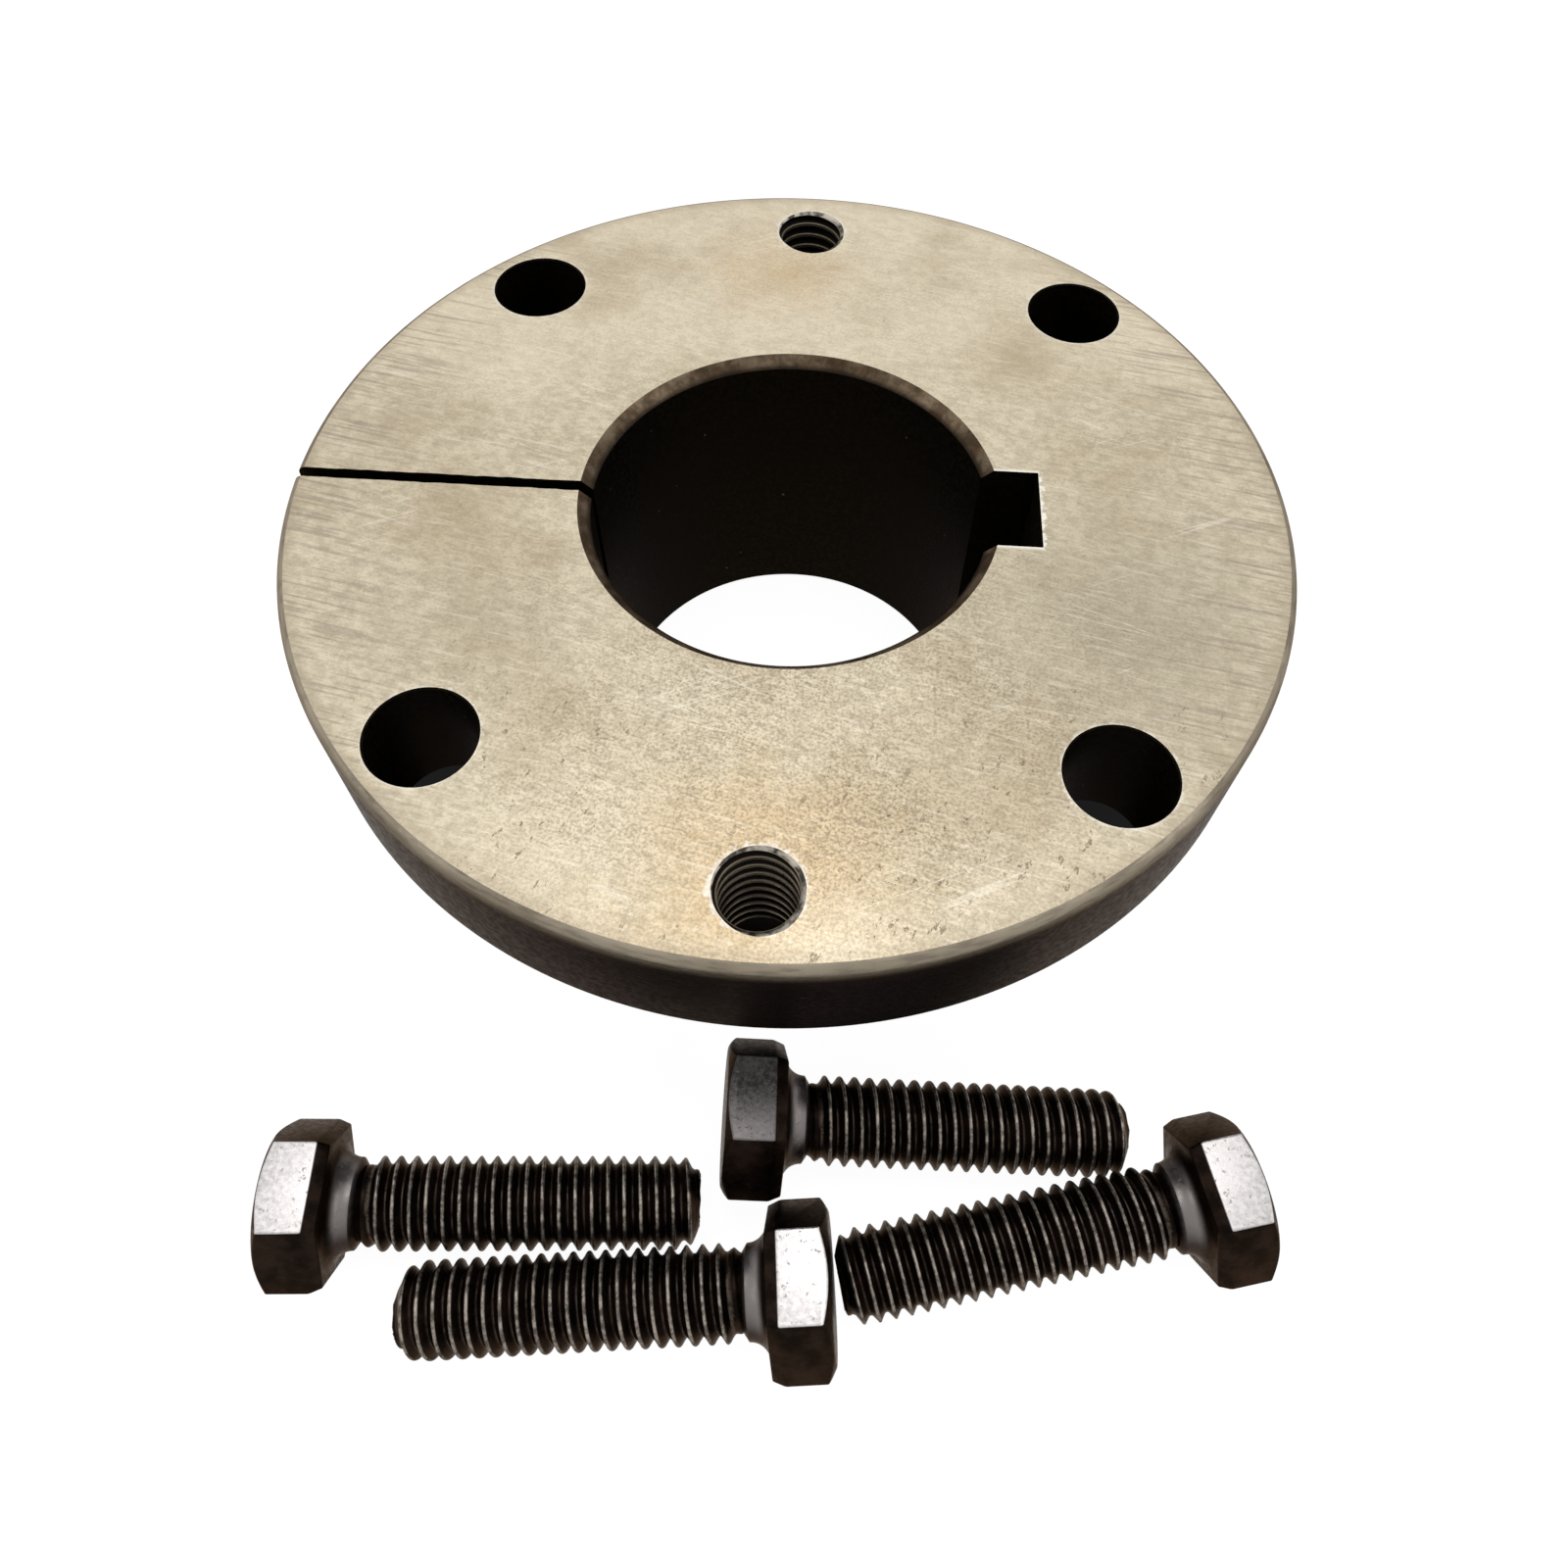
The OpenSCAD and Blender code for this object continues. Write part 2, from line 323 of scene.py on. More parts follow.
def close_ends(piece):
    """Closes a wound thread's two open ends with a flat face each."""
    only(piece)
    bpy.ops.object.mode_set(mode="EDIT")
    bpy.ops.mesh.select_all(action="SELECT")
    bpy.ops.mesh.fill_holes(sides=0)
    bpy.ops.mesh.select_all(action="SELECT")
    bpy.ops.mesh.normals_make_consistent(inside=False)
    bpy.ops.object.mode_set(mode="OBJECT")


taper_angle = math.degrees(math.atan(TAPER_LEAN))
root_arc_centre = (
    ROOT_R - ROOT_FILLET_R * TAPER_LEAN + ROOT_FILLET_R / math.cos(math.radians(taper_angle)),
    FLANGE_UNDER - ROOT_FILLET_R,
)
rim_arc_centre = (FLANGE_R - RIM_ROUND, HEIGHT - RIM_ROUND)
bushing = turned("split_bushing", [
    (NOSE_R - NOSE_BREAK, 0),
    (NOSE_R + NOSE_BREAK * TAPER_LEAN, NOSE_BREAK),
    *arc(root_arc_centre, ROOT_FILLET_R, 180 - taper_angle, 90, 6),
    (FLANGE_R - RIM_BREAK, FLANGE_UNDER),
    (FLANGE_R, FLANGE_UNDER + RIM_BREAK),
    *arc(rim_arc_centre, RIM_ROUND, 0, 90, 8),
], 256)
combine(bushing, turned("bore", [
    (BORE_R + NOSE_MOUTH + OVER, -OVER),
    (BORE_R, NOSE_MOUTH),
    (BORE_R, HEIGHT - MOUTH),
    (BORE_R + MOUTH + OVER, HEIGHT + OVER),
], 192), "DIFFERENCE")
key_broach = block("key_broach", (0, -KEY_W / 2, -OVER), (KEY_FLOOR, KEY_W / 2, HEIGHT + OVER))
combine(bushing, key_broach, "DIFFERENCE")

# The saw wandered a little, so the cut's two edges aren't quite straight
SAW_WANDER = 0.02 * MM
SAW_STEPS = 60
saw = block("saw", (-FLANGE_R - OVER, -SLIT_W / 2, -OVER), (0, SLIT_W / 2, HEIGHT + OVER))
bpy.ops.object.mode_set(mode="EDIT")
bpy.ops.mesh.select_mode(type="EDGE")
bpy.ops.mesh.select_all(action="DESELECT")
bpy.ops.object.mode_set(mode="OBJECT")
for edge in saw.data.edges:
    start, end = (saw.data.vertices[i].co for i in edge.vertices)
    edge.select = abs(start.x - end.x) > OVER
bpy.ops.object.mode_set(mode="EDIT")
bpy.ops.mesh.subdivide(number_cuts=SAW_STEPS)
bpy.ops.object.mode_set(mode="OBJECT")
for vertex in saw.data.vertices:
    side = 1 if vertex.co.y > 0 else -1
    step = vertex.co.x / MM
    drift = math.sin(0.9 * step + side) + side * math.sin(2.3 * step) + math.sin(5.1 * step + 2)
    vertex.co.y += SAW_WANDER * drift
combine(bushing, saw, "DIFFERENCE")

clearance_centres = []
for i in range(4):
    angle = math.radians(45 + 90 * i)
    clearance_centres.append((HOLE_CIRCLE_R * math.cos(angle), HOLE_CIRCLE_R * math.sin(angle)))
for centre in clearance_centres:
    combine(bushing, turned("drill", [
        (CLEARANCE_R, FLANGE_UNDER - OVER),
        (CLEARANCE_R, HEIGHT - CLEARANCE_EDGE),
        (CLEARANCE_R + CLEARANCE_EDGE + OVER, HEIGHT + OVER),
    ], 96, centre), "DIFFERENCE")

# The tap is cut off, in pitches, a little away from its winding's own points
TAP_START = 1.5071
TAP_END = 12.2103
jack_back = (0, HOLE_CIRCLE_R)
jack_front = (0, -HOLE_CIRCLE_R)
for centre in (jack_back, jack_front):
    tap = wound_thread("tap", [
        (TAPPED_R, 0),
        (TAPPED_R, 0.12),
        (TAP_GROOVE_R, 0.45),
        (TAP_GROOVE_R, 0.55),
        (TAPPED_R, 0.88),
    ], THREAD_PITCH, 64, TAP_TURNS)
    cut_square(tap, THREAD_PITCH * TAP_START, keep_above=True)
    cut_square(tap, THREAD_PITCH * TAP_END, keep_above=False)
    close_ends(tap)
    tap.data.transform(Matrix.Translation((*centre, FLANGE_UNDER - TAP_DROP)))
    combine(bushing, tap, "DIFFERENCE")
    combine(bushing, turned("countersink", [
        (TAPPED_R - 0.05 * MM, HEIGHT - TAPPED_SINK - 0.05 * MM),
        (TAPPED_R + TAPPED_SINK + OVER, HEIGHT + OVER),
    ], 96, centre), "DIFFERENCE")


def tone(red, green, blue):
    """A colour given as the 0 to 255 values of a screen, in linear light."""
    shares = [v / 255 for v in (red, green, blue)]
    return (*[v / 12.92 if v <= 0.04045 else ((v + 0.055) / 1.055) ** 2.4 for v in shares], 1)


def calc(tree, operation, a, b=0.0):
    """One sum."""
    return add_node(tree, "Math", {0: a, 1: b}, operation=operation).outputs[0]


def ramp(tree, value, low, high, to_low=0.0, to_high=1.0):
    """A soft step from to_low to to_high, as value goes from low to high."""
    return add_node(tree, "MapRange", {
        "Value": value, "From Min": low, "From Max": high, "To Min": to_low, "To Max": to_high,
    }, interpolation_type="SMOOTHSTEP").outputs["Result"]


def tint(tree, share, base, other):
    """The base colour, going over to the other one by share."""
    return add_node(tree, "Mix", {0: share, 6: base, 7: other}, data_type="RGBA").outputs[2]


def cloud(tree, vector, size, detail=3.0, roughness=0.5):
    """Soft noise whose spots are about that size across."""
    return add_node(tree, "TexNoise", {
        "Vector": vector, "Scale": 1 / size, "Detail": detail, "Roughness": roughness,
    }).outputs["Fac"]


def stretched(tree, vector, angle, stretch):
    """The vector, so that its pattern is drawn out along a direction in the flange's plane."""
    unturned = add_node(tree, "Mapping", {"Vector": vector, "Rotation": (0, 0, -math.radians(angle))})
    drawn_out = add_node(tree, "Mapping", {"Vector": unturned.outputs[0], "Scale": (1 / stretch, 1, 1)})
    return drawn_out.outputs[0]


def distance_to(tree, vector, place):
    """How far a point is from an upright axis."""
    flat = add_node(tree, "VectorMath", {0: vector, 1: (1, 1, 0)}, operation="MULTIPLY").outputs[0]
    return add_node(tree, "VectorMath", {0: flat, 1: (*place, 0)}, operation="DISTANCE").outputs["Value"]


def steel(name, metallic, specular, edge_tint):
    """A new metal with its shader, and the object's own coordinates to draw its patterns on."""
    material = bpy.data.materials.new(name)
    material.use_nodes = True
    tree = material.node_tree
    tree.nodes.clear()
    shader = add_node(tree, "BsdfPrincipled", {
        "Metallic": metallic, "Specular IOR Level": specular, "Specular Tint": edge_tint,
    })
    add_node(tree, "OutputMaterial", {"Surface": shader.outputs[0]})
    return material, tree, shader, add_node(tree, "TexCoord", {}).outputs["Object"]


def finish_steel(tree, shader, color, roughness, relief, depth):
    """Gives a metal its colour, its sheen and the relief of its surface."""
    put(tree, shader.inputs["Base Color"], color)
    put(tree, shader.inputs["Roughness"], roughness)
    bump = add_node(tree, "Bump", {"Height": relief, "Distance": depth})
    put(tree, shader.inputs["Normal"], bump.outputs[0])


# Every metal here shares this grain and these specks
metal_grain = bpy.data.node_groups.new("metal_grain", "ShaderNodeTree")
metal_grain.interface.new_socket("Vector", in_out="INPUT", socket_type="NodeSocketVector")
metal_grain.interface.new_socket("Size", in_out="INPUT", socket_type="NodeSocketFloat")
metal_grain.interface.new_socket("Grain", in_out="OUTPUT", socket_type="NodeSocketFloat")
metal_grain.interface.new_socket("Specks", in_out="OUTPUT", socket_type="NodeSocketFloat")
given = metal_grain.nodes.new("NodeGroupInput").outputs
result = metal_grain.nodes.new("NodeGroupOutput").inputs
fineness = calc(metal_grain, "DIVIDE", 1.0, given["Size"])
fine = add_node(metal_grain, "TexNoise", {
    "Vector": given["Vector"], "Scale": fineness, "Detail": 4.0, "Roughness": 0.6,
})
put(metal_grain, result["Grain"], fine.outputs["Fac"])
cells = add_node(metal_grain, "TexVoronoi", {
    "Vector": given["Vector"], "Scale": calc(metal_grain, "MULTIPLY", fineness, 0.3),
})
unevenness = calc(metal_grain, "MULTIPLY", fine.outputs["Fac"], 0.3)
uneven_dot = calc(metal_grain, "ADD", cells.outputs["Distance"], unevenness)
dot = ramp(metal_grain, uneven_dot, 0.19, 0.24, 1.0, 0.0)
draw = add_node(metal_grain, "SeparateColor", {"Color": cells.outputs["Color"]}).outputs[0]
put(metal_grain, result["Specks"], calc(metal_grain, "MULTIPLY", dot, ramp(metal_grain, draw, 0.86, 0.9)))


def grained(tree, vector, size):
    """The shared grain and specks, at a size."""
    node = add_node(tree, "Group", {}, node_tree=metal_grain)
    put(tree, node.inputs["Vector"], vector)
    put(tree, node.inputs["Size"], size)
    return node.outputs["Grain"], node.outputs["Specks"]


# The flange's face was ground in slanted strokes, and oil and rust have stained it in patches
GRINDING_ANGLE = -12
STAIN_WANDER = 12 * MM
DULL = tone(156, 146, 126)
TAN = tone(166, 148, 118)
OCHRE = tone(202, 170, 122)
PALE = tone(232, 220, 196)
ground_face, tree, shader, place = steel("ground_face", 0.85, 0.3, (1, 1, 1, 1))
grain, specks = grained(tree, place, 0.26 * MM)
strokes = cloud(tree, stretched(tree, place, GRINDING_ANGLE, 12), 0.28 * MM, 2.0)
mottle = cloud(tree, stretched(tree, place, GRINDING_ANGLE, 1.5), 0.75 * MM, 5.0, 0.7)
blotch = cloud(tree, place, 15 * MM, 4.0, 0.6)
from_axis = distance_to(tree, place, (0, 0))
x_here, y_here, _ = add_node(tree, "SeparateXYZ", {0: place}).outputs
color = tint(tree, ramp(tree, mottle, 0.34, 0.66), tone(187, 176, 153), tone(215, 204, 180))
# Painted light: the face is painted paler towards the back, where more light falls on it
color = tint(tree, ramp(tree, y_here, 8 * MM, 26 * MM, 0.0, 0.45), color, PALE)
color = tint(tree, ramp(tree, blotch, 0.46, 0.70, 0.0, 0.45), color, TAN)
stain_edge = calc(tree, "MULTIPLY", cloud(tree, place, 6 * MM, 5.0, 0.65), STAIN_WANDER)
for x, y, reach, strength, stain in (
    (30, -14, 30, 0.62, DULL),
    (14, -32, 21, 0.40, TAN),
    (-26, -17, 20, 0.30, DULL),
    (23, 21, 16, 0.62, TAN),
    (-38, 8, 15, 0.42, TAN),
    (-33, -4, 15, 0.38, TAN),
    (-3, 34, 17, 0.42, OCHRE),
    (0, -40, 23, 0.60, OCHRE),
    (-30, 16, 16, 0.40, PALE),
    (-16, -38, 16, 0.38, PALE),
    (6, -47, 15, 0.60, PALE),
):
    near = calc(tree, "ADD", distance_to(tree, place, (x * MM, y * MM)), stain_edge)
    color = tint(tree, ramp(tree, near, 5 * MM, reach * MM, strength, 0.0), color, stain)

# Pores and short hairs cover it, most of all between bore and front jack hole
nearness = ramp(tree, distance_to(tree, place, (5 * MM, -27 * MM)), 5 * MM, 42 * MM, 0.60, 0.18)
nearness = calc(tree, "MULTIPLY", nearness, ramp(tree, from_axis, 38 * MM, 46 * MM, 1.0, 0.5))
nearness = calc(tree, "MULTIPLY", nearness, ramp(tree, cloud(tree, place, 8 * MM), 0.36, 0.64, 0.75, 1.2))
pores = calc(tree, "MULTIPLY", ramp(tree, grain, 0.42, 0.66), nearness)
color = tint(tree, pores, color, tone(140, 127, 104))
hairs = ramp(tree, cloud(tree, stretched(tree, place, -22, 9), 0.26 * MM, 2.0, 0.5), 0.57, 0.72, 0.0, 0.6)
color = tint(tree, calc(tree, "MULTIPLY", hairs, nearness), color, tone(128, 114, 94))
color = tint(tree, ramp(tree, strokes, 0.56, 0.72, 0.0, 0.26), color, tone(234, 225, 206))

# The strokes show most at the left and right rims
sideways = calc(tree, "ABSOLUTE", x_here)
at_sides = ramp(tree, sideways, 20 * MM, 38 * MM)
at_rims = calc(tree, "MULTIPLY", ramp(tree, from_axis, 32 * MM, 46 * MM), at_sides)
rim_strokes = cloud(tree, stretched(tree, place, GRINDING_ANGLE, 22), 0.42 * MM, 2.0)
rim_strokes = calc(tree, "MULTIPLY", at_rims, ramp(tree, rim_strokes, 0.48, 0.66, 0.0, 0.55))
color = tint(tree, rim_strokes, color, tone(144, 132, 118))

# A few long thin scratches, and dark flecks that lie densest in front
for angle, size in ((-14, 1.5), (-22, 2.1), (24, 2.6)):
    lines = cloud(tree, stretched(tree, place, angle, 60), size * MM, 1.0)
    below_top = ramp(tree, lines, 0.503, 0.508, 1.0, 0.0)
    thin = calc(tree, "MULTIPLY", ramp(tree, lines, 0.492, 0.497), below_top)
    some = ramp(tree, cloud(tree, place, 9 * MM, 1.0), 0.56, 0.66, 0.0, 0.30)
    color = tint(tree, calc(tree, "MULTIPLY", thin, some), color, tone(240, 233, 217))
flecks = ramp(tree, cloud(tree, stretched(tree, place, 65, 1.8), 0.9 * MM, 4.0, 0.75), 0.625, 0.66)
in_front = ramp(tree, y_here, -34 * MM, -14 * MM, 1.0, 0.25)
fleck_share = calc(tree, "MULTIPLY", in_front, ramp(tree, blotch, 0.40, 0.52, 0.3, 1.0))
flecks = calc(tree, "MULTIPLY", flecks, fleck_share)
dark_marks = calc(tree, "MAXIMUM", flecks, calc(tree, "MULTIPLY", specks, 0.5))
color = tint(tree, calc(tree, "MULTIPLY", dark_marks, 0.62), color, tone(88, 68, 50))

# Pale edges round the holes and along the keyway's floor, partly chips and partly painted highlight, and
# painted shade just inside the outer edge
chip_noise = calc(tree, "SUBTRACT", cloud(tree, place, 0.55 * MM, 3.0, 0.6), 0.5)
hole_edges = [(centre, CLEARANCE_R + CLEARANCE_EDGE, 0.25 * MM, 0.5) for centre in clearance_centres]
hole_edges += [(centre, TAPPED_R + TAPPED_SINK, 0.42 * MM, 0.62) for centre in (jack_back, jack_front)]
# Painted highlight mixed with chips: a pale ragged ring round each hole's edge
for centre, edge_r, width, share in hole_edges:
    ragged = calc(tree, "MULTIPLY", chip_noise, 5 * width)
    from_edge = calc(tree, "SUBTRACT", calc(tree, "ADD", distance_to(tree, place, centre), ragged), edge_r)
    color = tint(tree, ramp(tree, from_edge, 0.0, width, share, 0.0), color, tone(230, 225, 216))
ragged_x = calc(tree, "ADD", x_here, calc(tree, "MULTIPLY", chip_noise, 2.2 * MM))
from_key = calc(tree, "SUBTRACT", ragged_x, KEY_FLOOR)
beside_key = ramp(tree, calc(tree, "ABSOLUTE", y_here), KEY_W / 2, KEY_W / 2 + 0.5 * MM, 0.8, 0.0)
key_chips_and_highlight = calc(tree, "MULTIPLY", beside_key, ramp(tree, from_key, 0.1 * MM, 0.45 * MM, 1.0, 0.0))
key_chips_and_highlight = calc(tree, "MULTIPLY", key_chips_and_highlight, ramp(tree, x_here, 0.0, KEY_FLOOR - MM))
color = tint(tree, key_chips_and_highlight, color, tone(244, 240, 232))
# Painted shade: the face darkens just inside its rounded outer edge
outer_edge_shade = ramp(tree, from_axis, FLANGE_R - 2.2 * MM, FLANGE_R - RIM_ROUND, 0.0, 0.35)
color = tint(tree, outer_edge_shade, color, tone(166, 152, 130))
relief = calc(tree, "ADD", calc(tree, "MULTIPLY", strokes, 0.6), calc(tree, "MULTIPLY", grain, 0.4))
relief = calc(tree, "SUBTRACT", relief, calc(tree, "MULTIPLY", dark_marks, 0.8))
finish_steel(tree, shader, color, ramp(tree, grain, 0.3, 0.7, 0.42, 0.56), relief, 0.03 * MM)

# Rim, barrel and underside are turned and left dark with oil; the rim is painted lighter towards its top,
# with a painted highlight along the rounded top edge
turned_dark, tree, shader, place = steel("turned_dark", 0.7, 0.08, (0.5, 0.42, 0.35, 1))
grain, specks = grained(tree, place, 0.6 * MM)
height = add_node(tree, "SeparateXYZ", {0: place}).outputs[2]
# Painted light: lighter towards the top, and a painted highlight on the rounded edge
painted_light_to_top = ramp(tree, height, HEIGHT - 4.5 * MM, HEIGHT - 1.2 * MM)
color = tint(tree, painted_light_to_top, tone(10, 8, 6), tone(26, 22, 17))
top_edge_highlight = ramp(tree, height, HEIGHT - 2.3 * MM, HEIGHT + 0.3 * MM)
color = tint(tree, top_edge_highlight, color, tone(164, 153, 135))
brown = ramp(tree, cloud(tree, place, 12 * MM, 3.0), 0.42, 0.66, 0.0, 0.3)
color = tint(tree, brown, color, tone(46, 36, 26))
turning = cloud(tree, add_node(tree, "Mapping", {"Vector": place, "Scale": (1, 1, 9)}).outputs[0], 2.2 * MM)
color = tint(tree, ramp(tree, turning, 0.44, 0.70, 0.0, 0.30), color, tone(20, 16, 12))
color = tint(tree, calc(tree, "MULTIPLY", specks, 0.5), color, tone(78, 68, 56))
relief = calc(tree, "ADD", turning, calc(tree, "MULTIPLY", grain, 0.4))
finish_steel(tree, shader, color, ramp(tree, grain, 0.3, 0.7, 0.32, 0.48), relief, 0.02 * MM)

# Bore, keyway, saw cut and drilled holes are black with oil, with a few bright specks
oiled_black, tree, shader, place = steel("oiled_black", 0.6, 0.03, (0.45, 0.38, 0.3, 1))
grain, specks = grained(tree, place, 0.5 * MM)
color = tint(tree, ramp(tree, grain, 0.40, 0.70), tone(17, 14, 8), tone(29, 24, 16))
color = tint(tree, calc(tree, "MULTIPLY", specks, 0.6), color, tone(120, 108, 92))
finish_steel(tree, shader, color, ramp(tree, grain, 0.3, 0.7, 0.42, 0.56), grain, 0.015 * MM)

# The bore's chamfer is a bronze-brown ring with a dark lower edge
bronzed_mouth, tree, shader, place = steel("bronzed_mouth", 0.7, 0.2, (0.8, 0.7, 0.6, 1))
grain, _ = grained(tree, place, 0.5 * MM)
height = add_node(tree, "SeparateXYZ", {0: place}).outputs[2]
patch = cloud(tree, place, 3 * MM, 5.0, 0.65)
color = tint(tree, ramp(tree, patch, 0.38, 0.64), tone(66, 56, 42), tone(118, 104, 86))
color = tint(tree, ramp(tree, grain, 0.45, 0.68, 0.0, 0.5), color, tone(104, 70, 48))
lower_edge = ramp(tree, height, HEIGHT - MOUTH, HEIGHT - 0.55 * MOUTH, 0.9, 0.0)
color = tint(tree, lower_edge, color, tone(30, 24, 18))
finish_steel(tree, shader, color, ramp(tree, grain, 0.3, 0.7, 0.34, 0.5), grain, 0.02 * MM)

# The tapped holes are dark between pale thread crests, and chipped bright at the countersink
tapped_steel, tree, shader, place = steel("tapped_steel", 0.7, 0.15, (0.6, 0.55, 0.5, 1))
grain, _ = grained(tree, place, 0.4 * MM)
height = add_node(tree, "SeparateXYZ", {0: place}).outputs[2]
both_alike = add_node(tree, "VectorMath", {0: place}, operation="ABSOLUTE").outputs[0]
from_axis = distance_to(tree, both_alike, jack_back)
crest = ramp(tree, from_axis, TAPPED_R + 0.03 * MM, TAPPED_R + 0.15 * MM, 0.85, 0.0)
color = tint(tree, crest, tone(16, 13, 10), tone(132, 121, 104))
ragged = calc(tree, "MULTIPLY", cloud(tree, place, 0.8 * MM), 0.6 * MM)
chipped = ramp(tree, calc(tree, "ADD", height, ragged), HEIGHT - 0.3 * MM, HEIGHT + 0.25 * MM, 0.0, 0.9)
patchy = ramp(tree, cloud(tree, place, 1.6 * MM, 3.0, 0.6), 0.40, 0.58, 0.15, 1.0)
chipped = calc(tree, "MULTIPLY", chipped, patchy)
color = tint(tree, chipped, color, tone(206, 198, 184))
finish_steel(tree, shader, color, ramp(tree, grain, 0.3, 0.7, 0.34, 0.5), grain, 0.02 * MM)

for material in (ground_face, turned_dark, oiled_black, bronzed_mouth, tapped_steel):
    bushing.data.materials.append(material)
FACE, SIDE, BLACK, MOUTH_RING, TAPPED = range(5)
HAIR = 0.02 * MM


def bushing_finish(middle, normal):
    """Which finish a face of the bushing has, by where it lies and which way it looks."""
    from_axis = math.hypot(middle.x, middle.y)
    in_flange = middle.z > FLANGE_UNDER + HAIR
    if normal.z > 0.995 and middle.z > HEIGHT - HAIR:
        return FACE
    for x, y in (jack_back, jack_front):
        if in_flange and math.hypot(middle.x - x, middle.y - y) < TAPPED_R + TAPPED_SINK + 0.3 * MM:
            return TAPPED
    for x, y in clearance_centres:
        if in_flange and math.hypot(middle.x - x, middle.y - y) < CLEARANCE_R + 2 * CLEARANCE_EDGE:
            return BLACK
    if normal.z > 0.3 and from_axis < BORE_R + 1.2 * MOUTH:
        return MOUTH_RING
    if abs(normal.y) > 0.7 and abs(middle.y) < SLIT_W and middle.x < 0:
        return BLACK
    return BLACK if abs(normal.z) < 0.2 and from_axis < KEY_FLOOR + HAIR else SIDE


weld(bushing)
bpy.ops.object.shade_smooth_by_angle(angle=math.radians(25))
for face in bushing.data.polygons:
    face.material_index = bushing_finish(face.center, face.normal)
    if abs(face.normal.z) > 0.995:
        face.use_smooth = False
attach(bushing, "root")
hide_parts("bushing")


# Cap screws
# Four hexagon cap screws of black-oxide steel, each forged with its head and rolled with its thread in one
# piece. Oil has browned them, and handling has worn their crests and top flats bright; painted highlights
# also brighten the crests' upper sides, the top flats, the necks and the thread roots.

THREAD_R = 3.95 * MM
GROOVE_R = THREAD_R - 0.6134 * THREAD_PITCH
SCREW_L = 31.75 * MM
NECK_L = 2.2 * MM
NECK_R = THREAD_R - 0.1 * MM
NECK_FILLET_R = 1.8 * MM
POINT_L = 2.2 * MM
POINT_LOSS = 0.38
HEAD_R = 6.35 * MM
HEAD_CORNER_R = HEAD_R / math.cos(math.radians(30))
HEAD_H = 5.4 * MM
HEAD_TOP_IN = 0.3 * MM
HEAD_SLOPE = math.tan(math.radians(30))
DRAFT_L = 1.1 * MM
DRAFT_IN = 0.4 * MM
HEAD_SOFT = 0.16 * MM
CREST_SHARE = 0.125
THREAD_CUT = 1.0257
CREST_WEAR_AND_HIGHLIGHT_RISE = 0.91
ROOT_RISE = 0.205
THREAD_START = NECK_L - 1.5 * THREAD_PITCH
LOW_SIDE = 0.75

# The thread's section, as [height from groove to crest, share of a pitch] points. Its crests are worn
# round, and old oil fills its grooves a little.
THREAD_OUTLINE = [
    (0.2, 0), (0.21, 0.05), (0.235, 0.09), (0.29, 0.13),
    (0.56, 0.255), (0.82, 0.37), (0.93, 0.41), (0.985, 0.455),
    (1, 0.5), (0.985, 0.545), (0.93, 0.59), (0.82, 0.63),
    (0.56, 0.745), (0.29, 0.87), (0.235, 0.91), (0.21, 0.95),
]


def point_share(x):
    """How much of its radius the screw keeps at x, on its rounded point."""
    t = min(1, max(0, (x - SCREW_L + POINT_L) / POINT_L))
    return 1 - POINT_LOSS * (1 - math.sqrt(1 - t * t))


# Thread, which grows out of the neck over its first turn and runs out on the point
turns = math.ceil((SCREW_L - THREAD_START) / THREAD_PITCH) + 1
thread_points = [(GROOVE_R + rise * (THREAD_R - GROOVE_R), share) for rise, share in THREAD_OUTLINE]
cap_screw = wound_thread("cap_screw", thread_points, THREAD_PITCH, 56, turns)
cap_screw.data.transform(Matrix.Translation((0, 0, THREAD_START)))
for vertex in cap_screw.data.vertices:
    r, z = math.hypot(vertex.co.x, vertex.co.y), vertex.co.z
    growth = min(1, max(0, (z - NECK_L) / THREAD_PITCH))
    new_r = point_share(z) * (GROOVE_R + growth * (r - GROOVE_R))
    vertex.co.x *= new_r / r
    vertex.co.y *= new_r / r
cut_square(cap_screw, THREAD_START + THREAD_CUT * THREAD_PITCH, keep_above=True)
cut_square(cap_screw, SCREW_L, keep_above=False)
close_ends(cap_screw)

# Neck, with its fillet under the head
shoulder = NECK_R - GROOVE_R
neck = turned("neck", [
    (NECK_R + NECK_FILLET_R, -DRAFT_L),
    *arc((NECK_R + NECK_FILLET_R, NECK_FILLET_R), NECK_FILLET_R, 270, 180, 10),
    (NECK_R, NECK_L - shoulder / 2),
    (GROOVE_R + shoulder / 4, NECK_L),
], 96)

# Head, below the bearing face: its flats lean in towards that face, and its corners are turned off
bpy.ops.object.select_all(action="DESELECT")
bpy.ops.mesh.primitive_cylinder_add(
    vertices=6, radius=HEAD_CORNER_R, depth=HEAD_H - DRAFT_L, location=(0, 0, -(HEAD_H + DRAFT_L) / 2)
)
head = bpy.context.active_object
head.name = "head"
bpy.ops.object.transform_apply(location=True)
bpy.ops.object.mode_set(mode="EDIT")
bpy.ops.mesh.select_mode(type="FACE")
bpy.ops.mesh.select_all(action="DESELECT")
bpy.ops.object.mode_set(mode="OBJECT")
for face in head.data.polygons:
    face.select = face.normal.z > 0.9
bpy.ops.object.mode_set(mode="EDIT")
bpy.ops.mesh.extrude_region_move(TRANSFORM_OT_translate={"value": (0, 0, DRAFT_L)})
draft_scale = (HEAD_R - DRAFT_IN) / HEAD_R
bpy.ops.transform.resize(value=(draft_scale, draft_scale, 1), center_override=(0, 0, 0))
bpy.ops.mesh.select_all(action="SELECT")
bpy.ops.transform.rotate(value=math.radians(30), orient_axis="Z", center_override=(0, 0, 0))
bpy.ops.object.mode_set(mode="OBJECT")
corner_reach = HEAD_CORNER_R + OVER
